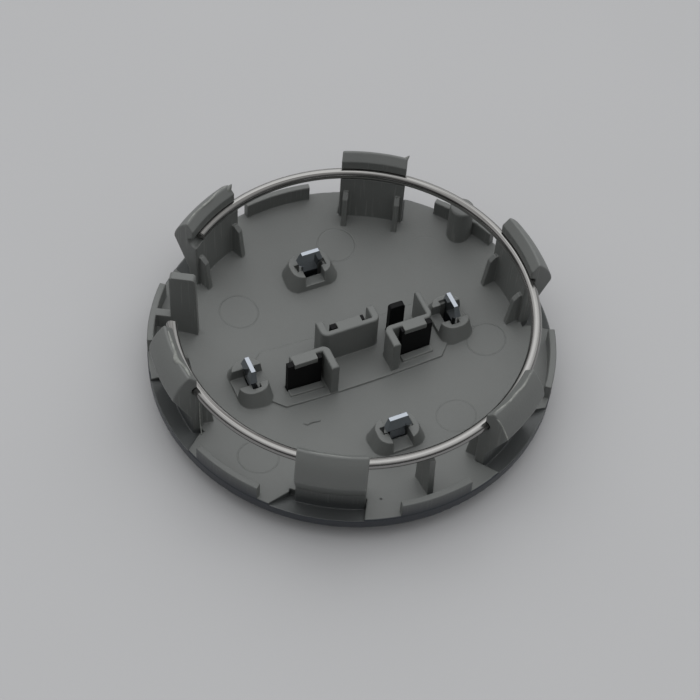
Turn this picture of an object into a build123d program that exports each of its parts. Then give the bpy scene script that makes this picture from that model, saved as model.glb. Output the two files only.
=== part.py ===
from build123d import *
import os
from math import sqrt

os.makedirs("parts", exist_ok=True)

# Millimetres. The cap lies on its front, +Z points to the hooks, +X runs along the raised band.
# The origin is at the middle of the front, on the plane that the cap lies on.

# Shell
cap_radius = 32.0
dome_radius = 150.0
shell_thickness = 2.5
front_skin = 0.5
floor_height = 1.98
rim_front_round = 0.8
rim_back_round = 0.25

# Clearance between pieces that fit together
fit_clearance = 0.1

# Emblem ring and its snap legs
bezel_inner = 15.0
bezel_outer = 19.4
bezel_thickness = 1.1
bezel_outer_round = 0.8
bezel_inner_round = 0.4
leg_count = 4
leg_thickness = 0.7
leg_neck_width = 2.6
leg_barb_width = 4.2
leg_tip_width = 3.0
leg_barb_reach = 0.35
leg_barb_rise = 0.75
leg_barb_edge = 0.15
leg_tip_rise = 2.0

# Bosses round the snap legs
boss_length = 8.8
boss_width = 5.6
boss_top_length = 6.6
boss_top_width = 4.8
boss_corner = 2.0
boss_rise = 2.9
boss_gap = 3.3
boss_sill_rise = 0.8
boss_flex_room = 0.6
boss_step_width = 0.35
boss_step_depth = 0.6

# Raised band along the floor
band_length = 32.6
band_width = 11.2
band_height = 0.3
band_corner = 3.0

# Shroud walls with their catches and sills
wall = 0.92
wall_top = 9.0
wall_corner_round = 1.2
wall_edge_round = 0.3
side_wall = 1.25
catch_depth = 1.0
sill_height = 0.35
sill_depth = 1.2

# Centre disc and its arms
disc_recess = 0.25
disc_edge_round = 0.2
arm_thickness = 0.95
arm_short = 0.1

# West bay: from the arm's end by the rim to the side wall
west_margin = 2.9
west_arm = 5.65
west_catch_start = 1.1
west_catch = 3.85
west_wall_start = 0.9
west_side_room = 1.75
west_side_reach = 3.75
west_face = 1.75

# East bay: the same from the other end, with a wall that turns back at the rim end
east_margin = 2.55
east_arm = 5.2
east_catch_start = 0.95
east_catch = 3.75
east_side_room = 2.4
east_side_reach = 3.2
east_return_room = 0.75
east_return_reach = 5.4
east_face = 1.9

# Middle bay, which opens to the other side, and the free tab next to it
mid_arm_start = -2.9
mid_arm = 5.65
mid_catch_start = 1.05
mid_catch = 4.05
mid_west_room = 1.9
mid_east_room = 2.4
mid_side_reach = 2.2
mid_face = 1.47
tab_start = 7.3
tab_length = 2.55
tab_round = 0.5
tab_face = 1.85

# Retaining wire ring
wire_ring_inset = 4.02
wire_diameter = 1.7
wire_height = 14.42
wire_gap_before = 23.0
wire_gap_after = 13.5
wire_end_round = 0.3

# Hooks
hook_count = 6
hook_width = 10.5
hook_rise = 3.78
hook_end_round = 0.2
stem_inset = 0.58
stem_thickness = 1.7
head_overlap = 0.12
facet_rise = 2.5
facet_round = 0.2
crest_reach = 1.2
crest_round = 0.25
head_bulge = 0.4
ridge_inset = 0.1
ridge_drop = 0.4
ridge_height = 0.5
undercut_drop = 6.0

# Hollows outside the hooks
hollow_back = 1.3
hollow_depth = 1.5
hollow_rim_depth = 0.4
hollow_room = 0.15
hollow_flare_room = 1.0
hollow_flare = 5.2

# Gussets behind the hooks
gusset_inset = 0.6
gusset_thickness = 0.85
gusset_reach = 2.4
gusset_drop = 3.6
gusset_facet = 0.9
gusset_slope = 0.7

# Fences, post and fins at the rim
fence_thickness = 1.05
fence_inset = 0.05
fence_half_angle = 10.3
fence_rise = 2.65
fence_edge_round = 0.2
post_inset = 2.15
post_diameter = 4.0
post_drop = 2.9
post_edge_round = 0.4
tall_fin_reach = 3.7
tall_fin_back = 0.6
tall_fin_rise = 3.3
tall_fin_thickness = 1.3
tall_fin_draft = 0.3
tall_fin_round = 0.6
low_fin_reach = 2.9
low_fin_back = 1.3
low_fin_drop = 0.6
low_fin_draft = 0.6
low_fin_shoulder = 2.4
low_fin_slope = 2.2
low_fin_thickness = 0.95

# Heights, radii and angles that follow from the sizes above
wire_ring_radius = cap_radius - wire_ring_inset
hook_top = wire_height + hook_rise
full_height = hook_top + shell_thickness
stem_inner = wire_ring_radius - stem_inset
stem_outer = stem_inner + stem_thickness
leg_radius = (bezel_inner + bezel_outer) / 2
disc_radius = bezel_inner - fit_clearance
pocket_radius = bezel_outer + fit_clearance
hook_angles = [360 / hook_count * index for index in range(hook_count)]
fence_angles = [angle + 180 / hook_count for angle in hook_angles]
leg_angles = [360 / leg_count * index for index in range(leg_count)]
post_angle = fence_angles[0]
tall_fin_angle = fence_angles[2]
low_fin_angle = fence_angles[4]


def floor_z(radius):
    """Height of the back floor at a distance from the axis."""
    return floor_height + dome_radius - sqrt(dome_radius**2 - radius**2)


def dome_arc(radius, offset):
    """Arc of the floor's curve in the radial plane, from the axis out, moved up by an offset."""
    return ThreePointArc(
        (0, floor_z(0) + offset),
        (radius / 2, floor_z(radius / 2) + offset),
        (radius, floor_z(radius) + offset),
    )


def dome_section(radius, low, high):
    """Half section between two offsets of the floor's curve."""
    bottom = dome_arc(radius, low)
    top = dome_arc(radius, high)
    sides = Line(bottom @ 0, top @ 0) + Line(bottom @ 1, top @ 1)
    return make_face(bottom + top + sides)


def lathe(section, arc=360):
    """Solid of a half section turned about the cap's axis."""
    return revolve(Plane.XZ * section, Axis.Z, arc)


def turned(solid, angle):
    """Solid turned about the cap's axis."""
    return Rot(0, 0, angle) * solid


def around(solid, angles):
    """Copies of a solid at several angles about the cap's axis."""
    return [turned(solid, angle) for angle in angles]


def box(x_low, x_high, y_low, y_high, z_low, z_high):
    """Box between two corners."""
    size = (x_high - x_low, y_high - y_low, z_high - z_low)
    return Pos(x_low, y_low, z_low) * Box(*size, align=(Align.MIN, Align.MIN, Align.MIN))


def rectangle(x_low, x_high, y_low, y_high):
    """Flat rectangle between two corners."""
    size = (x_high - x_low, y_high - y_low)
    return Pos(x_low, y_low) * Rectangle(*size, align=(Align.MIN, Align.MIN))


def eased_top(solid, radius):
    """Solid with its top edges rounded."""
    return fillet(solid.faces().sort_by(Axis.Z)[-1].edges(), radius)


def standing_walls(outline, corners):
    """Walls on the floor from their outline, with some corners rounded and the top edges eased."""
    for corner in corners:
        outline = fillet(outline.vertices().sort_by_distance(corner)[0], wall_corner_round)
    walls = extrude(outline, wall_top - bezel_thickness)
    return Pos(0, 0, bezel_thickness) * eased_top(walls, wall_edge_round)


def radial_plate(points, thickness, offset=0):
    """Plate in the plane of the X axis and the cap's axis, from (radius, height) points."""
    face = Plane.XZ * make_face(Polyline(*points, close=True))
    return Pos(0, offset, 0) * extrude(face, thickness / 2, both=True)


def cross_plate(points, low, high):
    """Plate square to the X axis between two radii, from (width, height) points."""
    face = Plane.YZ * make_face(Polyline(*points, close=True))
    return Pos(low, 0, 0) * extrude(face, high - low)


# Shell: a dished round plate with eased rim edges
shell_section = dome_section(cap_radius, -shell_thickness, 0)
shell_section = fillet(shell_section.vertices().sort_by(Axis.X)[-2:].sort_by(Axis.Y)[0], rim_front_round)
shell_section = fillet(shell_section.vertices().sort_by(Axis.X)[-2:].sort_by(Axis.Y)[-1], rim_back_round)
shell = lathe(shell_section)

# Hollows in the shell outside the hooks: they slope up to the rim and pass it, and four flare on one side
hollow_inner = stem_outer - hollow_back
hollow_outer = cap_radius + hollow_back
hollow_rim = floor_z(cap_radius) - hollow_rim_depth
hollow_side = hook_width / 2 + hollow_room
hollow_flare_side = hook_width / 2 + hollow_flare_room
hollow_points = [
    (hollow_inner, floor_z(hollow_inner) - hollow_depth),
    (cap_radius, hollow_rim),
    (hollow_outer, hollow_rim),
    (hollow_outer, full_height),
    (hollow_inner, full_height),
]
flared_outline = [
    (0, hollow_side),
    (hollow_outer, hollow_side),
    (hollow_outer, -hollow_flare_side - hollow_flare),
    (hollow_inner, -hollow_flare_side),
    (0, -hollow_flare_side),
]
hollow_ring = lathe(make_face(Polyline(*hollow_points, close=True)))
straight_hollow = hollow_ring & box(0, hollow_outer, -hollow_side, hollow_side, 0, full_height)
flared_hollow = hollow_ring & extrude(make_face(Polyline(*flared_outline, close=True)), full_height)
hollows = around(straight_hollow, hook_angles[1:3])
hollows += around(flared_hollow, hook_angles[0::4])
hollows += around(mirror(flared_hollow, Plane.XZ), hook_angles[3::2])
shell = shell - hollows

# Space above the shell's front skin, which keeps every foot inside the plate
above_shell = lathe(dome_section(cap_radius, front_skin - shell_thickness, full_height))

# Raised band with cut corners
band_outline = chamfer(Rectangle(band_length, band_width).vertices(), band_corner)
band = extrude(band_outline, full_height) & lathe(dome_section(cap_radius, -shell_thickness / 2, band_height))

# Hooks: one section turned round the axis and cut to parallel ends
groove_radius = wire_diameter / 2 + fit_clearance
groove_foot = (stem_inner, wire_height - sqrt(groove_radius**2 - stem_inset**2))
groove_back = (wire_ring_radius + groove_radius, wire_height)
head_inner = wire_ring_radius + head_overlap
groove_brow = (head_inner, wire_height + sqrt(groove_radius**2 - head_overlap**2))
facet_foot = (head_inner, wire_height + facet_rise)
crest = (head_inner + crest_reach, hook_top)
ridge_top = (cap_radius - ridge_inset, wire_height - ridge_drop)
ridge_foot = (cap_radius - ridge_inset, ridge_top[1] - ridge_height)
neck = (stem_outer, ridge_foot[1] - undercut_drop)
hook_line = Line((stem_inner, 0), groove_foot)
hook_line += ThreePointArc(groove_foot, groove_back, groove_brow)
hook_line += Polyline(groove_brow, facet_foot, crest)
hook_line += SagittaArc(crest, ridge_top, head_bulge)
hook_line += Polyline(ridge_top, ridge_foot, neck, (stem_outer, 0), (stem_inner, 0))
hook_section = make_face(hook_line)
hook_section = fillet(hook_section.vertices().sort_by_distance(crest)[0], crest_round)
hook_section = fillet(hook_section.vertices().sort_by_distance(facet_foot)[0], facet_round)
hook = lathe(hook_section) & box(0, 2 * cap_radius, -hook_width / 2, hook_width / 2, 0, full_height)
hook = fillet(hook.faces().filter_by(Axis.Y).edges(), hook_end_round)
hooks = around(hook, hook_angles)

# Gussets: two ribs on the inner side of each hook
gusset_foot = stem_inner - gusset_reach
gusset_top = wire_height - gusset_drop
gusset_root = stem_inner + stem_thickness / 2
gusset_points = [
    (gusset_foot, 0),
    (gusset_foot, floor_z(gusset_foot)),
    (gusset_foot + gusset_slope, gusset_top - gusset_facet),
    (gusset_foot + gusset_slope + gusset_facet, gusset_top),
    (gusset_root, gusset_top),
    (gusset_root, 0),
]
gusset_offset = (hook_width - gusset_thickness) / 2 - gusset_inset
gussets = []
for side in (-1, 1):
    gussets += around(radial_plate(gusset_points, gusset_thickness, side * gusset_offset), hook_angles)

# Fences: low arcs on the rim between the hooks
fence_outer = cap_radius - fence_inset
fence_middle = fence_outer - fence_thickness / 2
fence_top = floor_z(cap_radius) + fence_rise
fence_section = Pos(fence_middle, fence_top / 2) * Rectangle(fence_thickness, fence_top)
fence_section = fillet(fence_section.vertices().sort_by(Axis.Y)[-2:], fence_edge_round)
fences = around(turned(lathe(fence_section, 2 * fence_half_angle), -fence_half_angle), fence_angles)

# Post and two fins at the rim
post_height = wire_height - post_drop
post = Cylinder(post_diameter / 2, post_height, align=(Align.CENTER, Align.CENTER, Align.MIN))
post = turned(Pos(cap_radius - post_inset, 0, 0) * eased_top(post, post_edge_round), post_angle)
tall_fin_inner = wire_ring_radius - tall_fin_reach
tall_fin_outer = wire_ring_radius + tall_fin_back
tall_fin_top = wire_height + tall_fin_rise
tall_fin_points = [
    (tall_fin_inner, 0),
    (tall_fin_inner + tall_fin_draft, tall_fin_top),
    (tall_fin_outer, tall_fin_top),
    (tall_fin_outer, fence_top),
    (fence_middle, fence_top),
    (fence_middle, 0),
]
tall_fin = radial_plate(tall_fin_points, tall_fin_thickness)
tall_fin = fillet(tall_fin.edges().filter_by(Axis.Y).sort_by(Axis.Z)[-2:], tall_fin_round)
tall_fin = turned(tall_fin, tall_fin_angle)
low_fin_inner = wire_ring_radius - low_fin_reach
low_fin_outer = wire_ring_radius + low_fin_back
low_fin_top = wire_height - wire_diameter / 2 - low_fin_drop
low_fin_points = [
    (low_fin_inner, 0),
    (low_fin_inner, low_fin_top - low_fin_shoulder),
    (low_fin_inner + low_fin_slope, low_fin_top),
    (low_fin_outer - low_fin_draft, low_fin_top),
    (low_fin_outer, floor_z(low_fin_outer)),
    (low_fin_outer, 0),
]
low_fin = turned(radial_plate(low_fin_points, low_fin_thickness), low_fin_angle)

# Bosses: tapered blocks with a stepped opening for the leg and a gap to each side
boss_floor = floor_z(leg_radius)
boss_top = boss_floor + boss_rise
boss_growth = (boss_floor - bezel_thickness) / boss_rise
boss_foot = RectangleRounded(
    boss_width + boss_growth * (boss_width - boss_top_width),
    boss_length + boss_growth * (boss_length - boss_top_length),
    boss_corner,
)
boss_rim = RectangleRounded(boss_top_width, boss_top_length, boss_corner)
boss_block = loft([Pos(leg_radius, 0, bezel_thickness) * boss_foot, Pos(leg_radius, 0, boss_top) * boss_rim])
bore_half = leg_barb_width / 2 + fit_clearance
bore_inner = leg_radius - leg_thickness / 2 - boss_flex_room
bore_outer = leg_radius + leg_thickness / 2 + fit_clearance
step_half = bore_half + boss_step_width
leg_hole = box(bore_inner, bore_outer, -bore_half, bore_half, 0, full_height)
boss_step = box(bore_inner, bore_outer, -step_half, step_half, boss_top - boss_step_depth, full_height)
boss_slot = box(0, cap_radius, -boss_gap / 2, boss_gap / 2, boss_floor + boss_sill_rise, full_height)
bosses = around(boss_block - [leg_hole, boss_step, boss_slot], leg_angles)
leg_holes = around(leg_hole, leg_angles)

# West bay: a back wall and one side wall, open to -Y and to the rim
west_start = west_margin - disc_radius
west_end = west_start + west_arm
west_side = west_end + west_side_room
west_back = wall - west_face
west_outline = rectangle(west_start + west_wall_start, west_side, -west_face, west_back)
west_outline += rectangle(west_side - side_wall, west_side, -west_face - west_side_reach, west_back)
west_walls = standing_walls(west_outline, [(west_side, west_back)])

# East bay: the same the other way round, and a wall that turns back to +Y at its end
east_end = disc_radius - east_margin
east_start = east_end - east_arm
east_side = east_start - east_side_room
east_back = wall - east_face
east_return = east_end + east_return_room
east_outline = rectangle(east_side, east_return, -east_face, east_back)
east_outline += rectangle(east_side, east_side + side_wall, -east_face - east_side_reach, east_back)
east_outline += rectangle(east_return - wall, east_return, -east_face, east_return_reach - east_face)
east_walls = standing_walls(east_outline, [(east_side, east_back), (east_return, -east_face)])

# Middle bay: a back wall and two side walls, open to +Y
mid_end = mid_arm_start + mid_arm
mid_west = mid_arm_start - mid_west_room
mid_east = mid_end + mid_east_room
mid_back = mid_face - wall
mid_reach = mid_face + mid_side_reach
mid_outline = rectangle(mid_west, mid_east, mid_back, mid_face)
mid_outline += rectangle(mid_west, mid_west + side_wall, mid_back, mid_reach)
mid_outline += rectangle(mid_east - side_wall, mid_east, mid_back, mid_reach)
mid_walls = standing_walls(mid_outline, [(mid_west, mid_back), (mid_east, mid_back)])

# Catches on the walls' faces, and the arms of the disc that close round them.
# Each row: ends of the arm on X, ends of the catch on X, the wall's face on Y, side it opens to.
west_catch_low = west_start + west_catch_start
east_catch_high = east_end - east_catch_start
mid_catch_low = mid_arm_start + mid_catch_start
bays = [
    (west_start, west_end, west_catch_low, west_catch_low + west_catch, -west_face, -1),
    (east_start, east_end, east_catch_high - east_catch, east_catch_high, -east_face, -1),
    (mid_arm_start, mid_end, mid_catch_low, mid_catch_low + mid_catch, mid_face, 1),
]
catch_foot = wall_top - catch_depth
arm_top = wall_top - arm_short
arm_room = arm_thickness + 2 * fit_clearance
catches = []
sills = []
arms = []
arm_holes = []
for arm_low, arm_high, catch_low, catch_high, face, side in bays:
    y_catch = sorted((face - side * wall / 2, face + side * (fit_clearance + arm_thickness)))
    catches.append(box(catch_low, catch_high, *y_catch, catch_foot, wall_top))
    y_arm = sorted((face + side * fit_clearance, face + side * (fit_clearance + arm_thickness)))
    y_room = sorted((face, face + side * arm_room))
    notch = box(
        catch_low - fit_clearance,
        catch_high + fit_clearance,
        *y_room,
        catch_foot - fit_clearance,
        full_height,
    )
    arms.append(box(arm_low, arm_high, *y_arm, bezel_thickness / 2, arm_top) - notch)
    arm_holes.append(box(arm_low - fit_clearance, arm_high + fit_clearance, *y_room, 0, catch_foot))
    if side < 0:
        y_sill = sorted((face, face + side * (arm_room + sill_depth)))
        sills.append(box(arm_low, arm_high, *y_sill, 0, full_height))
sill_layer = lathe(dome_section(cap_radius, -shell_thickness / 2, band_height + sill_height))
sills = [sill & sill_layer for sill in sills]

# Free tab of the disc, with rounded corners
tab_outline = Plane.XZ * rectangle(tab_start, tab_start + tab_length, bezel_thickness / 2, arm_top)
tab = Pos(0, tab_face + arm_thickness, 0) * extrude(tab_outline, arm_thickness)
tab = fillet(tab.edges().filter_by(Axis.Y).sort_by(Axis.Z)[-2:], tab_round)
tab_hole = box(
    tab_start - fit_clearance,
    tab_start + tab_length + fit_clearance,
    tab_face - fit_clearance,
    tab_face + arm_thickness + fit_clearance,
    0,
    catch_foot,
)

# Cap body: shell and everything that stands on it, less the pocket and the holes
rim_parts = hooks + gussets + fences + [post, tall_fin, low_fin]
floor_parts = [band] + sills + catches + [west_walls, east_walls, mid_walls]
pocket = Cylinder(pocket_radius, full_height, align=(Align.CENTER, Align.CENTER, Align.MAX))
pocket = Pos(0, 0, bezel_thickness) * pocket
body = shell + [part & above_shell for part in rim_parts + floor_parts] + bosses
body = body - pocket - leg_holes - arm_holes - tab_hole
export_step(body, "parts/cap_body.step")

# Retaining wire: an open ring that stops short of the tall fin on both sides
wire_arc = 360 - wire_gap_before - wire_gap_after
wire_section = Pos(wire_ring_radius, wire_height) * Circle(wire_diameter / 2)
wire = lathe(wire_section, wire_arc)
wire_ends = wire.faces().filter_by(GeomType.PLANE)
wire = fillet(wire_ends.edges(), wire_end_round)
wire = turned(wire, tall_fin_angle + wire_gap_after)
export_step(wire, "parts/retaining_wire_ring.step")

# Emblem ring: a plain bezel with eased front edges and snap legs on its back
bezel_section = rectangle(bezel_inner, bezel_outer, 0, bezel_thickness)
bezel_section = fillet(bezel_section.vertices().sort_by_distance((bezel_outer, 0))[0], bezel_outer_round)
bezel_section = fillet(bezel_section.vertices().sort_by_distance((bezel_inner, 0))[0], bezel_inner_round)
leg_foot = bezel_thickness / 2
leg_back = leg_radius - leg_thickness / 2
leg_face = leg_radius + leg_thickness / 2
leg_barb = leg_face + leg_barb_reach
leg_seat = boss_top + fit_clearance
barb_foot = leg_seat + leg_barb_rise
barb_top = barb_foot + leg_barb_edge
leg_top = barb_top + leg_tip_rise
leg_side_points = [
    (leg_back, leg_foot),
    (leg_back, leg_top),
    (leg_face, leg_top),
    (leg_barb, barb_top),
    (leg_barb, barb_foot),
    (leg_face, leg_seat),
    (leg_face, leg_foot),
]
leg_half_points = [
    (leg_neck_width / 2, leg_foot),
    (leg_neck_width / 2, leg_seat),
    (leg_barb_width / 2, barb_foot),
    (leg_barb_width / 2, barb_top),
    (leg_tip_width / 2, leg_top),
]
leg_front_points = leg_half_points + [(-width, height) for width, height in reversed(leg_half_points)]
leg = radial_plate(leg_side_points, boss_length) & cross_plate(leg_front_points, bezel_inner, bezel_outer)
bezel = lathe(bezel_section) + around(leg, leg_angles)
export_step(bezel, "parts/chrome_bezel.step")

# Centre disc: a plain plate inside the ring, with its arms and tab
disc_section = rectangle(0, disc_radius, disc_recess, bezel_thickness)
disc_section = fillet(disc_section.vertices().sort_by_distance((disc_radius, disc_recess))[0], disc_edge_round)
disc = lathe(disc_section) + arms + [tab]
export_step(disc, "parts/black_centre_disc.step")
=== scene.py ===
"""Looks of a snap-in wheel centre cap that lies on its front.

It has the finishes, the moulding flash, the floor, the light and the camera.
"""

from __future__ import annotations

import logging
import math
from dataclasses import dataclass, field
from enum import Enum
from typing import Any

import bpy
from mathutils import Matrix, Vector


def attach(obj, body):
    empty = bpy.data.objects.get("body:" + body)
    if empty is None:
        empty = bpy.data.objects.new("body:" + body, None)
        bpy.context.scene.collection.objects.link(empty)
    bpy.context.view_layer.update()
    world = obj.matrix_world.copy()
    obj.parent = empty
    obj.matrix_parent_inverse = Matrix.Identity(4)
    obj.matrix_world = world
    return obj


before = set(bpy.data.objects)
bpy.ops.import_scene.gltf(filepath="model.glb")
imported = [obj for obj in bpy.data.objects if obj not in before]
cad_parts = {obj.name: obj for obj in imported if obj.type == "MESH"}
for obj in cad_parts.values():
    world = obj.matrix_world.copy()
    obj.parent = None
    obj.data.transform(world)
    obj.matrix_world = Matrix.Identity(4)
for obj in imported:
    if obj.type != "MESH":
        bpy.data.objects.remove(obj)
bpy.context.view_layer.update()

MM = 0.001
ROOT = "root"
LOG = logging.getLogger("wheel_centre_cap")
Socket = bpy.types.NodeSocket
BEVEL_SAMPLES = 6


class CadNode(Enum):
    """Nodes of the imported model."""

    BODY = "cap_body"
    WIRE = "retaining_wire_ring"
    BEZEL = "chrome_bezel"
    DISC = "black_centre_disc"


class Slot(Enum):
    """Material slots of the record."""

    GREY_PLASTIC = "grey_plastic"


class Hook(Enum):
    """Hooks of the cap, by their angle about its axis in degrees."""

    NORTH_EAST = 60.0
    NORTH_WEST = 120.0
    WEST = 180.0
    SOUTH_WEST = 240.0
    SOUTH_EAST = 300.0


class Skin(Enum):
    """What the skin of a raised line on the body is like."""

    MOULDED = "moulded"
    RUBBED = "rubbed"
    TORN = "torn"


def linear(hex_colour: str) -> tuple[float, float, float, float]:
    """Turns an sRGB hex colour to linear light.

    Args:
        hex_colour: Colour such as "6b6c6a".

    Returns:
        Red, green, blue and an alpha of 1.
    """
    channels = [int(hex_colour[i : i + 2], 16) / 255 for i in (0, 2, 4)]
    light = [c / 12.92 if c <= 0.04045 else ((c + 0.055) / 1.055) ** 2.4 for c in channels]
    return (light[0], light[1], light[2], 1.0)


def add_node(
    tree: bpy.types.NodeTree,
    kind: str,
    inputs: dict[str | int, Any] | None = None,
    **settings: Any,
) -> bpy.types.Node:
    """Adds a node with its settings, values and links.

    Args:
        tree: Node tree that gets the node.
        kind: Blender's name of the node's type.
        inputs: Values for the node's sockets, or the sockets to link to them.
        **settings: Settings of the node itself.

    Returns:
        The new node.
    """
    node = tree.nodes.new(kind)
    for name, value in settings.items():
        setattr(node, name, value)
    for socket, value in (inputs or {}).items():
        if isinstance(value, Socket):
            tree.links.new(value, node.inputs[socket])
        else:
            node.inputs[socket].default_value = value
    return node


class Finish:
    """A finish: one node material, with its pattern in the object's own millimetres."""

    def __init__(self, name: str) -> None:
        """Starts an empty material.

        Args:
            name: Name of the material.
        """
        self.material = bpy.data.materials.new(name)
        self.material.use_nodes = True
        self.tree = self.material.node_tree
        self.tree.nodes.clear()
        place = self.node("ShaderNodeTexCoord").outputs["Object"]
        self.place = self.node(
            "ShaderNodeVectorMath", {0: place, "Scale": 1 / MM}, operation="SCALE"
        ).outputs[0]

    def node(self, kind: str, inputs: dict[str | int, Any] | None = None, **settings: Any) -> bpy.types.Node:
        """Adds a node to this finish, as add_node does."""
        return add_node(self.tree, kind, inputs, **settings)

    def close(self, shader: bpy.types.Node) -> bpy.types.Material:
        """Links the shader to the output and hands out the material."""
        self.node("ShaderNodeOutputMaterial", {"Surface": shader.outputs[0]})
        return self.material


class BodyFinish(Finish):
    """The body's node material, with the places and directions that its patterns share."""

    def __init__(self, name: str, floor_mm: float, dome_radius_mm: float) -> None:
        """Starts the material and works out where a point lies on the cap.

        Args:
            name: Name of the material.
            floor_mm: Height of the floor at the cap's axis.
            dome_radius_mm: Radius of the dished floor.
        """
        super().__init__(name)
        axes = self.node("ShaderNodeSeparateXYZ", {0: self.place}).outputs
        self.plan = self.node("ShaderNodeCombineXYZ", {"X": axes["X"], "Y": axes["Y"]}).outputs[0]
        self.facing = self.node("ShaderNodeNewGeometry").outputs["Normal"]
        self.facing_up = self.node("ShaderNodeSeparateXYZ", {0: self.facing}).outputs["Z"]

        # Square of the distance from the axis, and the height over the dished floor
        self.square = self.node(
            "ShaderNodeVectorMath", {0: self.plan, 1: self.plan}, operation="DOT_PRODUCT"
        ).outputs["Value"]
        dish = self.node(
            "ShaderNodeMath",
            {0: self.square, 1: 0.5 / dome_radius_mm, 2: floor_mm},
            operation="MULTIPLY_ADD",
        ).outputs[0]
        self.over_floor = self.node(
            "ShaderNodeMath", {0: axes["Z"], 1: dish}, operation="SUBTRACT"
        ).outputs[0]


@dataclass(frozen=True)
class MouldedGreyAbs:
    """Injection-moulded ABS, bare on the back and sprayed on the front.

    The spark-eroded mould leaves an even satin grain, with slow clouding from the melt's flow, round
    witness lines of the ejector pins and drawn vertical lines on the walls. The edges are paler, partly
    from rubbing and partly as a painted highlight where they round over. The front and the rim's side
    have a smooth coat of metallic paint that ends at the rim's back edge. The paint's colour also lies
    in the hollows outside the hooks and low on what faces outward: partly its mist, partly painted shade
    under the hooks' heads.
    """

    back_hex: str = "6a6c6a"
    # Paler edge colour: partly wear, partly a painted highlight where edges round over; also the dragged
    # lines
    worn_and_highlight_hex: str = "8a8c88"
    cloud_hex: str = "626462"
    pit_hex: str = "2c2d2c"
    # Paint colour, also laid as painted shade in the hollows and low near the rim
    paint_and_shade_hex: str = "30343a"
    ior: float = 1.53
    roughness: float = 0.5
    roughness_spread: float = 0.06
    paint_roughness: float = 0.38
    paint_metallic: float = 0.35
    # The real grain is about 0.1 mm wide, which is less than a pixel here, so it is drawn coarser.
    grain_mm: float = 0.42
    grain_depth_mm: float = 0.026
    cloud_mm: float = 9.0
    draw_line_mm: float = 0.3
    draw_line_depth_mm: float = 0.012
    draw_line_squash: float = 0.04
    drag_from_mm: float = 23.0
    drag_strength: float = 0.4
    fade_mm: float = 1.0
    edge_mm: float = 0.36
    edge_strength: float = 0.75
    pin_diameter_mm: float = 6.2
    pin_line_mm: float = 0.18
    # Middle of each ejector pin on X and Y, and the depth of its witness line
    pins_mm: tuple[tuple[float, float, float], ...] = (
        (-13.5, 14.1, 0.06),
        (6.4, 20.9, 0.06),
        (21.0, -5.7, 0.06),
        (-21.1, -13.2, 0.06),
        (10.3, -17.1, 0.05),
        (19.3, 13.8, 0.015),
    )
    pit_place_mm: tuple[float, float, float] = (-7.08, -27.18, 0.0)
    pit_radius_mm: float = 0.26
    pit_depth_mm: float = 0.1
    floor_mm: float = 1.98
    dome_radius_mm: float = 150.0
    rim_mm: float = 31.3
    paint_blend_mm: float = 0.1
    paint_edge_mm: float = 0.3
    paint_waver_mm: float = 0.3
    # Where the paint's colour lies in the hollows and low near the rim: partly mist, partly painted shade
    mist_and_shade_from_mm: float = 27.5
    mist_and_shade_to_mm: float = 30.5
    mist_and_shade_height_mm: float = 3.4
    mist_and_shade_in_hollows: float = 0.4

    def draw_lines(self, finish: BodyFinish) -> Socket:
        """Draws the lines that the mould leaves down the upright walls.

        Args:
            finish: Material that gets the nodes.

        Returns:
            Height of the lines, from 0 to 1.
        """
        node = finish.node
        drawn = node(
            "ShaderNodeMapping", {0: finish.place, "Scale": (1.0, 1.0, self.draw_line_squash)}
        ).outputs[0]
        line = node(
            "ShaderNodeTexNoise",
            {"Vector": drawn, "Scale": 1 / self.draw_line_mm, "Detail": 1.0},
        ).outputs["Fac"]
        upright = node(
            "ShaderNodeMapRange",
            {
                "Value": node("ShaderNodeMath", {0: finish.facing_up}, operation="ABSOLUTE").outputs[0],
                "From Min": 0.15,
                "From Max": 0.4,
                "To Min": 1.0,
                "To Max": 0.0,
            },
        ).outputs[0]
        return node("ShaderNodeMath", {0: line, 1: upright}, operation="MULTIPLY").outputs[0]

    def floor_marks(self, finish: BodyFinish) -> tuple[Socket, Socket]:
        """Draws the ejector pins' witness circles and one small pit, on the floor only.

        Args:
            finish: Material that gets the nodes.

        Returns:
            Depth of the circles in millimetres, and the pit from 0 to 1.
        """
        node = finish.node
        off_floor = node("ShaderNodeMath", {0: finish.over_floor}, operation="ABSOLUTE").outputs[0]
        on_floor = node(
            "ShaderNodeMapRange",
            {"Value": off_floor, "From Min": 0.1, "From Max": 0.2, "To Min": 1.0, "To Max": 0.0},
        ).outputs[0]
        circles: Socket | float = 0.0
        for x, y, depth in self.pins_mm:
            reach = node(
                "ShaderNodeVectorMath", {0: finish.plan, 1: (x, y, 0.0)}, operation="DISTANCE"
            ).outputs["Value"]
            off_line = node(
                "ShaderNodeMath", {0: reach, 1: self.pin_diameter_mm / 2}, operation="SUBTRACT"
            ).outputs[0]
            circle = node(
                "ShaderNodeMapRange",
                {
                    "Value": node("ShaderNodeMath", {0: off_line}, operation="ABSOLUTE").outputs[0],
                    "From Min": 0.0,
                    "From Max": self.pin_line_mm,
                    "To Min": depth,
                    "To Max": 0.0,
                },
                interpolation_type="SMOOTHSTEP",
            ).outputs[0]
            circles = node("ShaderNodeMath", {0: circles, 1: circle}, operation="MAXIMUM").outputs[0]
        circles = node("ShaderNodeMath", {0: circles, 1: on_floor}, operation="MULTIPLY").outputs[0]
        off_pit = node(
            "ShaderNodeVectorMath", {0: finish.plan, 1: self.pit_place_mm}, operation="DISTANCE"
        ).outputs["Value"]
        pit = node(
            "ShaderNodeMapRange",
            {
                "Value": off_pit,
                "From Min": self.pit_radius_mm / 2,
                "From Max": self.pit_radius_mm,
                "To Min": on_floor,
                "To Max": 0.0,
            },
            interpolation_type="SMOOTHSTEP",
        ).outputs[0]
        return circles, pit

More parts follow.
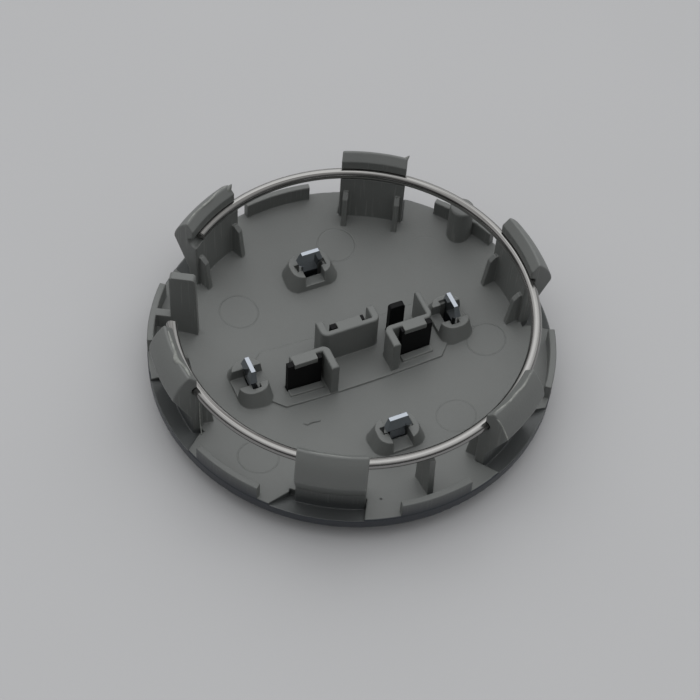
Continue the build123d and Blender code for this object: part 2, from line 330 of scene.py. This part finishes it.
    def wear_and_highlight(self, finish: BodyFinish, eased: Socket, cloud: Socket, line: Socket) -> Socket:
        """Pales the edges, partly rubbed and partly a painted highlight, and the walls dragged from the
        mould.

        Args:
            finish: Material that gets the nodes.
            eased: Normal with its edges eased, which leaves the face's own normal at an edge.
            cloud: Slow clouding.
            line: Height of the draw lines.

        Returns:
            Share of the paler colour, none below the floor.
        """
        node = finish.node
        agree = node(
            "ShaderNodeVectorMath", {0: eased, 1: finish.facing}, operation="DOT_PRODUCT"
        ).outputs["Value"]
        # Paler edges: partly rubbing, partly a painted highlight where they round over
        rubbed = node(
            "ShaderNodeMapRange",
            {
                "Value": agree,
                "From Min": 0.9,
                "From Max": 0.995,
                "To Min": self.edge_strength,
                "To Max": 0.0,
            },
        ).outputs[0]
        near_hooks = node(
            "ShaderNodeMapRange",
            {
                "Value": finish.square,
                "From Min": self.drag_from_mm**2,
                "From Max": (self.drag_from_mm + self.fade_mm) ** 2,
                "To Min": 0.0,
                "To Max": self.drag_strength,
            },
        ).outputs[0]
        dragged = node(
            "ShaderNodeMapRange",
            {"Value": line, "From Min": 0.6, "From Max": 0.72, "To Min": 0.0, "To Max": near_hooks},
        ).outputs[0]
        worn_and_highlit = node("ShaderNodeMath", {0: rubbed, 1: cloud}, operation="MULTIPLY").outputs[0]
        worn_and_highlit = node("ShaderNodeMath", {0: worn_and_highlit, 1: dragged}, operation="MAXIMUM").outputs[0]
        return node(
            "ShaderNodeMapRange",
            {"Value": finish.over_floor, "From Min": 0.1, "From Max": 0.4, "To Min": 0.0, "To Max": worn_and_highlit},
        ).outputs[0]

    def mist_and_painted_shade(self, finish: BodyFinish) -> Socket:
        """Lays the paint's colour in the hollows and low on outward faces: its mist and painted shade.

        Args:
            finish: Material that gets the nodes.

        Returns:
            Share of the paint's colour, as mist and painted shade.
        """
        node = finish.node
        out = node("ShaderNodeVectorMath", {0: finish.plan}, operation="NORMALIZE").outputs[0]
        outward = node(
            "ShaderNodeVectorMath", {0: finish.facing, 1: out}, operation="DOT_PRODUCT"
        ).outputs["Value"]
        towards_rim = node(
            "ShaderNodeMapRange",
            {"Value": finish.square, "From Min": self.mist_and_shade_from_mm**2, "From Max": self.mist_and_shade_to_mm**2},
        ).outputs[0]
        in_hollows = node(
            "ShaderNodeMapRange",
            {
                "Value": finish.square,
                "From Min": (self.mist_and_shade_from_mm - self.fade_mm) ** 2,
                "From Max": self.mist_and_shade_from_mm**2,
                "To Min": 0.0,
                "To Max": self.mist_and_shade_in_hollows,
            },
        ).outputs[0]
        # Painted shade, partly the paint's mist, in the hollows below the floor
        settled_mist_and_shade = node(
            "ShaderNodeMapRange",
            {
                "Value": finish.over_floor,
                "From Min": -0.4,
                "From Max": -0.1,
                "To Min": in_hollows,
                "To Max": 0.0,
            },
        ).outputs[0]
        low_down = node(
            "ShaderNodeMapRange",
            {
                "Value": finish.over_floor,
                "From Min": 0.0,
                "From Max": self.mist_and_shade_height_mm,
                "To Min": towards_rim,
                "To Max": 0.0,
            },
        ).outputs[0]
        # Painted shade, partly the paint's mist, low on outward faces near the rim
        caught_mist_and_shade = node(
            "ShaderNodeMapRange",
            {"Value": outward, "From Min": 0.3, "From Max": 0.7, "To Min": 0.0, "To Max": low_down},
        ).outputs[0]
        return node("ShaderNodeMath", {0: settled_mist_and_shade, 1: caught_mist_and_shade}, operation="MAXIMUM").outputs[0]

    def paint_and_shade(self, finish: BodyFinish, cloud: Socket) -> Socket:
        """Paints the front and the rim's side, with a soft edge, and adds the mist and painted shade.

        Args:
            finish: Material that gets the nodes.
            cloud: Slow clouding, which lets the paint's edge waver.

        Returns:
            Share of the paint's colour, with the mist and the painted shade.
        """
        node = finish.node
        rim = node(
            "ShaderNodeMapRange",
            {
                "Value": finish.square,
                "From Min": (self.rim_mm - self.paint_blend_mm) ** 2,
                "From Max": (self.rim_mm + self.paint_blend_mm) ** 2,
            },
        ).outputs[0]
        beside = node(
            "ShaderNodeMapRange",
            {"Value": finish.facing_up, "From Min": 0.6, "From Max": 0.8, "To Min": rim, "To Max": 0.0},
        ).outputs[0]
        front = node(
            "ShaderNodeMapRange",
            {"Value": finish.facing_up, "From Min": -0.3, "From Max": -0.1, "To Min": 1.0, "To Max": 0.0},
        ).outputs[0]
        sprayed = node("ShaderNodeMath", {0: beside, 1: front}, operation="MAXIMUM").outputs[0]
        wavering = node(
            "ShaderNodeMath",
            {0: cloud, 1: self.paint_waver_mm, 2: finish.over_floor},
            operation="MULTIPLY_ADD",
        ).outputs[0]
        painted = node(
            "ShaderNodeMapRange",
            {
                "Value": wavering,
                "From Min": -self.paint_edge_mm,
                "From Max": self.paint_blend_mm - self.paint_edge_mm,
                "To Min": sprayed,
                "To Max": 0.0,
            },
        ).outputs[0]
        return node("ShaderNodeMath", {0: painted, 1: self.mist_and_painted_shade(finish)}, operation="MAXIMUM").outputs[0]

    def build(self) -> bpy.types.Material:
        """Makes the material.

        Returns:
            The finish of the cap's body.
        """
        finish = BodyFinish("abs_injection_moulded_grey_painted_front", self.floor_mm, self.dome_radius_mm)
        node = finish.node
        grain = node(
            "ShaderNodeTexNoise",
            {"Vector": finish.place, "Scale": 1 / self.grain_mm, "Detail": 2.0, "Roughness": 0.6},
        ).outputs["Fac"]
        cloud = node(
            "ShaderNodeTexNoise",
            {"Vector": finish.place, "Scale": 1 / self.cloud_mm, "Detail": 3.0, "Roughness": 0.55},
        ).outputs["Fac"]
        eased = node("ShaderNodeBevel", {"Radius": self.edge_mm * MM}, samples=BEVEL_SAMPLES).outputs[0]
        line = self.draw_lines(finish)
        circles, pit = self.floor_marks(finish)
        # Share of the paint, with its mist and the painted shade in the hollows and low near the rim
        painted = self.paint_and_shade(finish, cloud)

        # Colour: clouded; paler at edges, partly worn and partly painted highlight; dark in the pit; and
        # the paint's colour where painted, in its mist and as painted shade in the hollows
        colour: Any = linear(self.cloud_hex)
        for share, hex_colour in (
            (cloud, self.back_hex),
            (self.wear_and_highlight(finish, eased, cloud, line), self.worn_and_highlight_hex),
            (pit, self.pit_hex),
            (painted, self.paint_and_shade_hex),
        ):
            colour = node(
                "ShaderNodeMix", {0: share, 6: colour, 7: linear(hex_colour)}, data_type="RGBA"
            ).outputs[2]
        satin = node(
            "ShaderNodeMapRange",
            {
                "Value": grain,
                "To Min": self.roughness - self.roughness_spread,
                "To Max": self.roughness + self.roughness_spread,
            },
        ).outputs[0]
        gloss = node("ShaderNodeMix", {0: painted, 2: satin, 3: self.paint_roughness}).outputs[0]
        metal = node("ShaderNodeMath", {0: painted, 1: self.paint_metallic}, operation="MULTIPLY").outputs[0]

        # Relief in millimetres
        relief = node("ShaderNodeMath", {0: grain, 1: self.grain_depth_mm}, operation="MULTIPLY").outputs[0]
        for height, depth_mm in ((line, self.draw_line_depth_mm), (circles, -1.0), (pit, -self.pit_depth_mm)):
            relief = node(
                "ShaderNodeMath", {0: height, 1: depth_mm, 2: relief}, operation="MULTIPLY_ADD"
            ).outputs[0]
        bump = node("ShaderNodeBump", {"Strength": 1.0, "Distance": MM, "Height": relief, "Normal": eased})
        shader = node(
            "ShaderNodeBsdfPrincipled",
            {
                "Base Color": colour,
                "Metallic": metal,
                "Roughness": gloss,
                "IOR": self.ior,
                "Normal": bump.outputs[0],
            },
        )
        return finish.close(shader)


@dataclass(frozen=True)
class TornGreyAbs:
    """ABS flash, squeezed out at a seam of the mould and torn as the mould parted.

    Stretching has paled the plastic in streaks, and its broken skin scatters the light.
    """

    name: str = "abs_flash_torn"
    hex_colour: str = "747672"
    pale_hex: str = "91938e"
    ior: float = 1.53
    roughness: float = 0.7
    streak_mm: float = 0.9
    streak_depth_mm: float = 0.03

    def build(self) -> bpy.types.Material:
        """Makes the material.

        Returns:
            The finish of a line of flash.
        """
        finish = Finish(self.name)
        node = finish.node
        streak = node(
            "ShaderNodeTexNoise", {"Vector": finish.place, "Scale": 1 / self.streak_mm, "Detail": 3.0}
        ).outputs["Fac"]
        paled = node("ShaderNodeMapRange", {"Value": streak, "From Min": 0.35, "From Max": 0.65}).outputs[0]
        colour = node(
            "ShaderNodeMix",
            {0: paled, 6: linear(self.hex_colour), 7: linear(self.pale_hex)},
            data_type="RGBA",
        ).outputs[2]
        relief = node("ShaderNodeMath", {0: streak, 1: self.streak_depth_mm}, operation="MULTIPLY").outputs[0]
        bump = node("ShaderNodeBump", {"Strength": 1.0, "Distance": MM, "Height": relief})
        shader = node(
            "ShaderNodeBsdfPrincipled",
            {
                "Base Color": colour,
                "Roughness": self.roughness,
                "IOR": self.ior,
                "Normal": bump.outputs[0],
            },
        )
        return finish.close(shader)


@dataclass(frozen=True)
class DrawnSpringSteel:
    """Spring steel wire, cold drawn and polished.

    It gives a bright neutral mirror, broken into light and dark streaks by fine lines along the wire.
    Along the lines the colour is darker too, as painted dark reflections.
    """

    hex_colour: str = "9b9a98"
    # Darker colour along the draw lines: painted dark reflections
    dark_reflection_hex: str = "5c5a58"
    roughness: float = 0.16
    roughness_spread: float = 0.06
    # Draw lines are a few hundredths of a millimetre apart; they are drawn coarser so that they show.
    line_mm: float = 0.34
    line_depth_mm: float = 0.02
    line_wander: float = 0.012
    blotch_mm: float = 4.0

    def build(self) -> bpy.types.Material:
        """Makes the material.

        Returns:
            The finish of the wire ring.
        """
        finish = Finish("spring_steel_drawn_polished")
        node = finish.node
        axes = node("ShaderNodeSeparateXYZ", {0: finish.place}).outputs
        plan = node("ShaderNodeCombineXYZ", {"X": axes["X"], "Y": axes["Y"]}).outputs[0]
        reach = node("ShaderNodeVectorMath", {0: plan}, operation="LENGTH").outputs["Value"]
        section = node("ShaderNodeCombineXYZ", {"X": reach, "Y": axes["Z"]}).outputs[0]
        wander = node(
            "ShaderNodeVectorMath", {0: finish.place, "Scale": self.line_wander}, operation="SCALE"
        ).outputs[0]
        section = node("ShaderNodeVectorMath", {0: section, 1: wander}, operation="ADD").outputs[0]
        line = node(
            "ShaderNodeTexNoise", {"Vector": section, "Scale": 1 / self.line_mm, "Detail": 2.0}
        ).outputs["Fac"]
        # Share of the darker colour: painted dark reflections along the lines
        streak = node("ShaderNodeMapRange", {"Value": line, "From Min": 0.5, "From Max": 0.7}).outputs[0]
        colour = node(
            "ShaderNodeMix",
            {0: streak, 6: linear(self.hex_colour), 7: linear(self.dark_reflection_hex)},
            data_type="RGBA",
        ).outputs[2]
        blotch = node(
            "ShaderNodeTexNoise", {"Vector": finish.place, "Scale": 1 / self.blotch_mm, "Detail": 4.0}
        ).outputs["Fac"]
        gloss = node(
            "ShaderNodeMapRange",
            {
                "Value": blotch,
                "To Min": self.roughness - self.roughness_spread,
                "To Max": self.roughness + self.roughness_spread,
            },
        ).outputs[0]
        relief = node("ShaderNodeMath", {0: line, 1: self.line_depth_mm}, operation="MULTIPLY").outputs[0]
        bump = node("ShaderNodeBump", {"Strength": 1.0, "Distance": MM, "Height": relief})
        shader = node(
            "ShaderNodeBsdfPrincipled",
            {
                "Base Color": colour,
                "Metallic": 1.0,
                "Roughness": gloss,
                "Normal": bump.outputs[0],
            },
        )
        return finish.close(shader)


@dataclass(frozen=True)
class ChromePlatedAbs:
    """ABS, electroplated with bright chrome.

    It gives a cold near-perfect mirror with a slight swim from the plated plastic under it.
    """

    hex_colour: str = "9ea3aa"
    roughness: float = 0.06
    roughness_spread: float = 0.03
    edge_mm: float = 0.1
    swim_mm: float = 2.2
    swim_depth_mm: float = 0.01

    def build(self) -> bpy.types.Material:
        """Makes the material.

        Returns:
            The finish of the bezel and its legs.
        """
        finish = Finish("abs_chrome_plated_bright")
        node = finish.node
        swim = node(
            "ShaderNodeTexNoise", {"Vector": finish.place, "Scale": 1 / self.swim_mm, "Detail": 2.0}
        ).outputs["Fac"]
        gloss = node(
            "ShaderNodeMapRange",
            {
                "Value": swim,
                "To Min": self.roughness - self.roughness_spread,
                "To Max": self.roughness + self.roughness_spread,
            },
        ).outputs[0]
        eased = node("ShaderNodeBevel", {"Radius": self.edge_mm * MM}, samples=BEVEL_SAMPLES).outputs[0]
        relief = node("ShaderNodeMath", {0: swim, 1: self.swim_depth_mm}, operation="MULTIPLY").outputs[0]
        bump = node("ShaderNodeBump", {"Strength": 1.0, "Distance": MM, "Height": relief, "Normal": eased})
        shader = node(
            "ShaderNodeBsdfPrincipled",
            {
                "Base Color": linear(self.hex_colour),
                "Metallic": 1.0,
                "Roughness": gloss,
                "Normal": bump.outputs[0],
            },
        )
        return finish.close(shader)


@dataclass(frozen=True)
class GlossBlackAbs:
    """ABS, dyed black and moulded in a mould that is polished on the front and eroded on the back.

    It gives a deep black with a clean soft gloss in front, and dull arms that hardly shine.
    """

    hex_colour: str = "060607"
    dull_hex: str = "0a0a0b"
    ior: float = 1.53
    roughness: float = 0.2
    dull_roughness: float = 0.55
    haze_roughness: float = 0.08
    shine: float = 0.5
    dull_shine: float = 0.15
    edge_mm: float = 0.12
    haze_mm: float = 1.4
    haze_depth_mm: float = 0.006

    def build(self) -> bpy.types.Material:
        """Makes the material.

        Returns:
            The finish of the centre disc and its arms.
        """
        finish = Finish("abs_moulded_gloss_black")
        node = finish.node
        haze = node(
            "ShaderNodeTexNoise", {"Vector": finish.place, "Scale": 1 / self.haze_mm, "Detail": 4.0}
        ).outputs["Fac"]
        colour = node(
            "ShaderNodeMix",
            {0: haze, 6: linear(self.hex_colour), 7: linear(self.dull_hex)},
            data_type="RGBA",
        ).outputs[2]
        facing = node("ShaderNodeNewGeometry").outputs["Normal"]
        facing_up = node("ShaderNodeSeparateXYZ", {0: facing}).outputs["Z"]
        dull = node("ShaderNodeMapRange", {"Value": facing_up, "From Min": -0.8, "From Max": -0.5}).outputs[0]
        gloss = node("ShaderNodeMix", {0: dull, 2: self.roughness, 3: self.dull_roughness}).outputs[0]
        gloss = node(
            "ShaderNodeMath", {0: haze, 1: self.haze_roughness, 2: gloss}, operation="MULTIPLY_ADD"
        ).outputs[0]
        shine = node("ShaderNodeMix", {0: dull, 2: self.shine, 3: self.dull_shine}).outputs[0]
        eased = node("ShaderNodeBevel", {"Radius": self.edge_mm * MM}, samples=BEVEL_SAMPLES).outputs[0]
        relief = node("ShaderNodeMath", {0: haze, 1: self.haze_depth_mm}, operation="MULTIPLY").outputs[0]
        bump = node("ShaderNodeBump", {"Strength": 1.0, "Distance": MM, "Height": relief, "Normal": eased})
        shader = node(
            "ShaderNodeBsdfPrincipled",
            {
                "Base Color": colour,
                "Roughness": gloss,
                "IOR": self.ior,
                "Specular IOR Level": shine,
                "Normal": bump.outputs[0],
            },
        )
        return finish.close(shader)


@dataclass(frozen=True)
class PaleTableBoard:
    """Laminated board, smooth and matt.

    It gives an even pale grey that takes soft shadows.
    """

    hex_colour: str = "b6b6b7"
    shade_hex: str = "b2b2b3"
    roughness: float = 0.7
    cloud_mm: float = 60.0

    def build(self) -> bpy.types.Material:
        """Makes the material.

        Returns:
            The finish of the floor.
        """
        finish = Finish("laminate_matt_pale_grey")
        node = finish.node
        cloud = node(
            "ShaderNodeTexNoise", {"Vector": finish.place, "Scale": 1 / self.cloud_mm, "Detail": 2.0}
        ).outputs["Fac"]
        colour = node(
            "ShaderNodeMix",
            {0: cloud, 6: linear(self.shade_hex), 7: linear(self.hex_colour)},
            data_type="RGBA",
        ).outputs[2]
        shader = node("ShaderNodeBsdfPrincipled", {"Base Color": colour, "Roughness": self.roughness})
        return finish.close(shader)


def dress(node: CadNode, material: bpy.types.Material) -> None:
    """Gives a CAD node its finish.

    Args:
        node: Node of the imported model.
        material: Finish of the node.
    """
    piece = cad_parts[node.value]
    piece.data.materials.clear()
    piece.data.materials.append(material)
    LOG.info("%s dressed in %s", piece.name, material.name)


@dataclass(frozen=True)
class LinePoint:
    """One place on a raised line, in millimetres.

    It lies outward from the cap's axis, along the line's own turn, and up, with the line's width there.
    """

    outward: float
    along: float
    height: float
    width: float

    def place(self) -> Vector:
        """Gives the place in metres."""
        return Vector((self.outward, self.along, self.height)) * MM


@dataclass(frozen=True)
class RaisedLine:
    """A bead of plastic that stands proud of the body, such as flash in a seam of the mould."""

    name: str
    turn: float
    skin: Skin
    points: tuple[LinePoint, ...]
    ring_corners: int = 8
    smooth_levels: int = 2
    ragged_mm: float = 0.1
    ragged_size_mm: float = 0.5

    def draw_out(self) -> bpy.types.Object:
        """Draws a small disc out from point to point, at each point's width.

        Returns:
            The closed bead, not yet turned to its place.
        """
        places = [point.place() for point in self.points]
        heading = (places[-1] - places[0]).to_track_quat("Z", "Y").to_euler()
        bpy.ops.object.select_all(action="DESELECT")
        bpy.ops.mesh.primitive_circle_add(
            vertices=self.ring_corners,
            radius=self.points[0].width / 2 * MM,
            fill_type="NGON",
            location=places[0],
            rotation=heading,
        )
        bead = bpy.context.object
        bead.name = self.name
        bpy.ops.object.transform_apply(location=True, rotation=True, scale=True)
        bpy.ops.object.mode_set(mode="EDIT")
        bpy.ops.mesh.select_all(action="SELECT")
        for last, here in zip(self.points, self.points[1:]):
            bpy.ops.mesh.extrude_region_move(TRANSFORM_OT_translate={"value": here.place() - last.place()})
            growth = here.width / last.width
            bpy.ops.transform.resize(value=(growth, growth, growth), center_override=here.place())
        bpy.ops.mesh.select_all(action="SELECT")
        bpy.ops.mesh.normals_make_consistent(inside=False)
        bpy.ops.object.mode_set(mode="OBJECT")
        return bead

    def build(self, material: bpy.types.Material) -> None:
        """Models the bead, turns it to its place and dresses it.

        Args:
            material: Finish of the bead.
        """
        bead = self.draw_out()
        smooth = bead.modifiers.new("smooth", "SUBSURF")
        smooth.levels = smooth.render_levels = self.smooth_levels
        bpy.ops.object.modifier_apply(modifier=smooth.name)
        ragged = bead.modifiers.new("ragged", "DISPLACE")
        ragged.texture = bpy.data.textures.new(self.name, "CLOUDS")
        ragged.texture.noise_scale = self.ragged_size_mm * MM
        ragged.strength = self.ragged_mm * MM
        bpy.ops.object.modifier_apply(modifier=ragged.name)
        bead.rotation_euler[2] = math.radians(self.turn)
        bpy.ops.object.transform_apply(location=True, rotation=True, scale=True)
        bpy.ops.object.shade_smooth()
        bead.data.materials.append(material)
        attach(bead, ROOT)
        LOG.info("%s modelled, %d faces", bead.name, len(bead.data.polygons))


# Flash and burrs on the hooks, each on its own hook's axes, and the arrow on the floor
RAISED_LINES = (
    RaisedLine(
        "flash_crest_west",
        Hook.WEST.value,
        Skin.TORN,
        (
            LinePoint(28.7, -5.0, 17.5, 0.5),
            LinePoint(28.7, -3.9, 17.7, 0.5),
            LinePoint(28.9, -2.0, 17.8, 0.5),
            LinePoint(29.0, -0.4, 17.8, 0.6),
            LinePoint(29.3, 0.7, 17.85, 0.9),
            LinePoint(29.35, 1.7, 17.85, 1.0),
            LinePoint(28.9, 2.3, 17.8, 0.75),
            LinePoint(28.5, 3.0, 17.5, 0.55),
            LinePoint(28.6, 4.2, 17.65, 0.6),
            LinePoint(28.6, 5.0, 17.4, 0.5),
            LinePoint(28.3, 5.25, 16.4, 0.35),
        ),
    ),
    RaisedLine(
        "flash_string_west",
        Hook.WEST.value,
        Skin.TORN,
        (
            LinePoint(27.4, 5.2, 12.0, 0.2),
            LinePoint(27.4, 5.3, 8.0, 0.22),
            LinePoint(27.5, 5.6, 5.6, 0.2),
            LinePoint(27.7, 6.8, 4.7, 0.16),
        ),
    ),
    RaisedLine(
        "flash_crest_south_east",
        Hook.SOUTH_EAST.value,
        Skin.TORN,
        (
            LinePoint(29.0, 5.0, 18.0, 0.25),
            LinePoint(28.9, 4.2, 17.9, 0.35),
            LinePoint(29.3, 2.5, 18.0, 0.4),
            LinePoint(29.4, 1.3, 18.0, 0.4),
            LinePoint(29.2, 0.2, 18.0, 0.45),
            LinePoint(29.3, -1.4, 18.0, 0.4),
            LinePoint(29.2, -2.2, 18.0, 0.45),
            LinePoint(28.8, -4.4, 17.9, 0.45),
            LinePoint(28.6, -5.0, 17.8, 0.35),
        ),
    ),
    RaisedLine(
        "flash_end_south_east",
        Hook.SOUTH_EAST.value,
        Skin.TORN,
        (
            LinePoint(28.8, -5.1, 17.8, 0.3),
            LinePoint(29.6, -5.15, 17.4, 0.3),
            LinePoint(30.4, -5.15, 16.5, 0.25),
            LinePoint(31.0, -5.15, 15.55, 0.25),
            LinePoint(31.5, -5.15, 14.6, 0.25),
            LinePoint(31.8, -5.1, 13.95, 0.2),
        ),
    ),
    RaisedLine(
        "flash_crest_south_west",
        Hook.SOUTH_WEST.value,
        Skin.RUBBED,
        (
            LinePoint(28.8, -4.9, 17.9, 0.3),
            LinePoint(29.1, -3.3, 17.95, 0.35),
            LinePoint(29.2, -0.4, 17.95, 0.4),
            LinePoint(29.2, 2.4, 17.95, 0.35),
            LinePoint(29.1, 5.0, 17.9, 0.3),
        ),
    ),
    RaisedLine(
        "flash_crest_north_west",
        Hook.NORTH_WEST.value,
        Skin.TORN,
        (
            LinePoint(29.0, 4.9, 18.0, 0.35),
            LinePoint(29.3, 2.8, 18.0, 0.4),
            LinePoint(29.3, 1.2, 18.0, 0.45),
            LinePoint(29.1, -1.4, 18.0, 0.45),
            LinePoint(29.4, -2.6, 17.9, 0.45),
            LinePoint(29.3, -3.6, 17.9, 0.45),
            LinePoint(29.0, -4.9, 18.0, 0.45),
        ),
    ),
    RaisedLine(
        "burr_north_west",
        Hook.NORTH_WEST.value,
        Skin.RUBBED,
        (
            LinePoint(28.7, -4.7, 16.7, 1.3),
            LinePoint(28.7, -4.8, 17.3, 1.3),
            LinePoint(28.6, -5.0, 17.75, 1.0),
            LinePoint(28.5, -5.2, 18.1, 0.55),
            LinePoint(28.4, -5.5, 18.45, 0.12),
        ),
    ),
    RaisedLine(
        "burr_north_east",
        Hook.NORTH_EAST.value,
        Skin.RUBBED,
        (
            LinePoint(29.0, -4.8, 17.2, 0.9),
            LinePoint(29.0, -4.9, 17.6, 0.9),
            LinePoint(29.1, -5.1, 17.95, 0.65),
            LinePoint(29.2, -5.3, 18.25, 0.35),
            LinePoint(29.3, -5.45, 18.45, 0.12),
        ),
    ),
    RaisedLine(
        "floor_arrow",
        0.0,
        Skin.MOULDED,
        (
            LinePoint(-12.1, -9.35, 2.75, 0.2),
            LinePoint(-11.65, -9.7, 2.75, 0.5),
            LinePoint(-11.3, -9.7, 2.75, 0.5),
            LinePoint(-11.0, -9.5, 2.75, 0.4),
            LinePoint(-10.2, -9.6, 2.7, 0.4),
            LinePoint(-9.25, -9.75, 2.6, 0.35),
        ),
        ragged_mm=0.04,
    ),
)


@dataclass
class CapBody:
    """Moulded shell with its hooks, and the beads of plastic that the mould left on it."""

    moulded: MouldedGreyAbs = field(default_factory=MouldedGreyAbs)
    torn: TornGreyAbs = field(default_factory=TornGreyAbs)
    rubbed: TornGreyAbs = TornGreyAbs("abs_flash_rubbed_smooth", "747673", "80827e", roughness=0.52)
    lines: tuple[RaisedLine, ...] = RAISED_LINES

    def build(self) -> None:
        """Dresses the moulded body and adds its raised lines."""
        skins = {
            Skin.MOULDED: self.moulded.build(),
            Skin.RUBBED: self.rubbed.build(),
            Skin.TORN: self.torn.build(),
        }
        dress(CadNode.BODY, skins[Skin.MOULDED])
        for line in self.lines:
            line.build(skins[line.skin])


@dataclass
class WireRing:
    """Open spring wire ring in the hooks' grooves."""

    finish: DrawnSpringSteel = field(default_factory=DrawnSpringSteel)

    def build(self) -> None:
        """Dresses the wire."""
        dress(CadNode.WIRE, self.finish.build())


@dataclass
class Emblem:
    """Plain bezel with snap legs, and the plain disc with its arms."""

    bezel_finish: ChromePlatedAbs = field(default_factory=ChromePlatedAbs)
    disc_finish: GlossBlackAbs = field(default_factory=GlossBlackAbs)

    def build(self) -> None:
        """Dresses the bezel and the disc."""
        dress(CadNode.BEZEL, self.bezel_finish.build())
        dress(CadNode.DISC, self.disc_finish.build())


@dataclass
class SoftBox:
    """One area lamp that looks at the cap, with its place and size in metres."""

    name: str
    place: tuple[float, float, float]
    size: tuple[float, float]
    watts: float
    hex_colour: str = "ffffff"

    def build(self) -> None:
        """Adds the lamp."""
        lamp = bpy.data.lights.new(self.name, "AREA")
        lamp.shape = "RECTANGLE"
        lamp.size, lamp.size_y = self.size
        lamp.energy = self.watts
        lamp.color = linear(self.hex_colour)[:3]
        holder = bpy.data.objects.new(self.name, lamp)
        bpy.context.scene.collection.objects.link(holder)
        holder.location = self.place
        holder.rotation_euler = (-Vector(self.place)).to_track_quat("-Z", "Y").to_euler()


@dataclass
class Studio:
    """Floor, lamps, sky and camera.

    Places and sizes are in metres, the camera's roll in degrees, its lens and sensor in millimetres.
    """

    floor_size: float = 4.0
    floor_finish: PaleTableBoard = field(default_factory=PaleTableBoard)
    sky_hex: str = "fdfeff"
    sky_axis: tuple[float, float, float] = (0.14, 0.3, 0.944)
    sky_dark_from: float = -0.05
    zenith_glow: float = 1.3
    horizon_glow: float = 0.1
    camera_place: tuple[float, float, float] = (-0.07692, -0.14966, 0.23313)
    camera_target: tuple[float, float, float] = (0.00058, 0.00160, 0.00168)
    camera_roll: float = 4.44
    camera_lens: float = 92.57
    camera_sensor: float = 36.0
    camera_near: float = 0.01
    lamps: tuple[SoftBox, ...] = (
        SoftBox("overhead_softbox", (-0.02, 0.18, 0.65), (0.8, 0.8), 0.4),
    )

    def build(self) -> None:
        """Adds everything round the object."""
        self.build_floor()
        self.build_sky()
        for lamp in self.lamps:
            lamp.build()
        self.build_camera()

    def build_floor(self) -> None:
        """Adds the floor that the cap lies on."""
        bpy.ops.object.select_all(action="DESELECT")
        bpy.ops.mesh.primitive_plane_add(size=self.floor_size)
        floor = bpy.context.object
        floor.name = "floor"
        floor.data.materials.append(self.floor_finish.build())

    def build_sky(self) -> None:
        """Adds a pale tent of light, brightest just behind the zenith and dim at the horizon."""
        world = bpy.data.worlds.new("studio_tent")
        bpy.context.scene.world = world
        world.use_nodes = True
        tree = world.node_tree
        tree.nodes.clear()
        towards = add_node(tree, "ShaderNodeTexCoord").outputs["Generated"]
        height = add_node(
            tree, "ShaderNodeVectorMath", {0: towards, 1: self.sky_axis}, operation="DOT_PRODUCT"
        ).outputs["Value"]
        glow = add_node(
            tree,
            "ShaderNodeMapRange",
            {
                "Value": height,
                "From Min": self.sky_dark_from,
                "To Min": self.horizon_glow,
                "To Max": self.zenith_glow,
            },
            interpolation_type="SMOOTHSTEP",
        ).outputs[0]
        tent = add_node(tree, "ShaderNodeBackground", {"Color": linear(self.sky_hex), "Strength": glow})
        add_node(tree, "ShaderNodeOutputWorld", {"Surface": tent.outputs[0]})

    def build_camera(self) -> None:
        """Adds the camera at the photograph's angle."""
        camera = bpy.data.cameras.new("photo_camera")
        camera.lens = self.camera_lens
        camera.sensor_width = self.camera_sensor
        camera.clip_start = self.camera_near
        holder = bpy.data.objects.new("photo_camera", camera)
        bpy.context.scene.collection.objects.link(holder)
        place = Vector(self.camera_place)
        aim = (Vector(self.camera_target) - place).to_track_quat("-Z", "Y").to_matrix().to_4x4()
        roll = Matrix.Rotation(math.radians(self.camera_roll), 4, "Z")
        holder.matrix_world = Matrix.Translation(place) @ aim @ roll
        bpy.context.scene.camera = holder


def main() -> None:
    """Builds the pieces and the studio."""
    logging.basicConfig(level=logging.INFO, format="%(name)s: %(message)s")
    bpy.context.scene.view_settings.view_transform = "Standard"
    CapBody().build()
    WireRing().build()
    Emblem().build()
    Studio().build()


if __name__ == "__main__":
    main()
